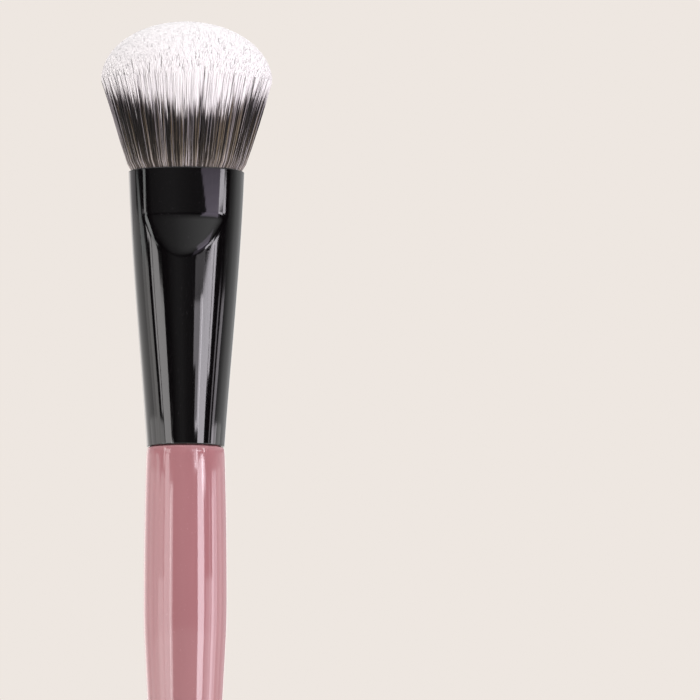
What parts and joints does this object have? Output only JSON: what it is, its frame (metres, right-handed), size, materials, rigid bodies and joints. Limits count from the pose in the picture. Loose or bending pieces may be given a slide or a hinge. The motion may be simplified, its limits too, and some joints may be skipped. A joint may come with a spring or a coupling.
{
  "type": "blush brush",
  "caption": "Make-up brush with a soft domed head in a crimped oval metal ferrule, on a slim round handle that swells to a belly and tapers to a rounded butt.",
  "frame": {"origin": "centre of the flat at the handle's butt end", "axes": "+Z along the brush from the butt to the head, X across the wide way of the head, the ferrule's pressed flats face -Y (front) and +Y (back)"},
  "size_m": [0.0294, 0.0182, 0.1699],
  "materials": {
    "handle_lacquer": "turned hardwood under a dusty pink high-gloss lacquer",
    "adhesive": "set amber adhesive, hidden in the ferrule",
    "ferrule_metal": "seamless drawn tube, high-gloss black",
    "resin": "cast resin round the fibre roots, hidden in the ferrule",
    "thread": "waxed binding thread, hidden in the ferrule",
    "bristle_fibre": "soft straight synthetic fibres, dark streaky brown at the root, white at the tip"
  },
  "bodies": {
    "root": {"handle": "handle_lacquer", "handle_glue": "adhesive", "ferrule": "ferrule_metal", "root_plug": "resin", "root_tie": "thread", "bristles_front": "bristle_fibre", "bristles_core": "bristle_fibre", "bristles_back": "bristle_fibre"}
  },
  "joints": []
}
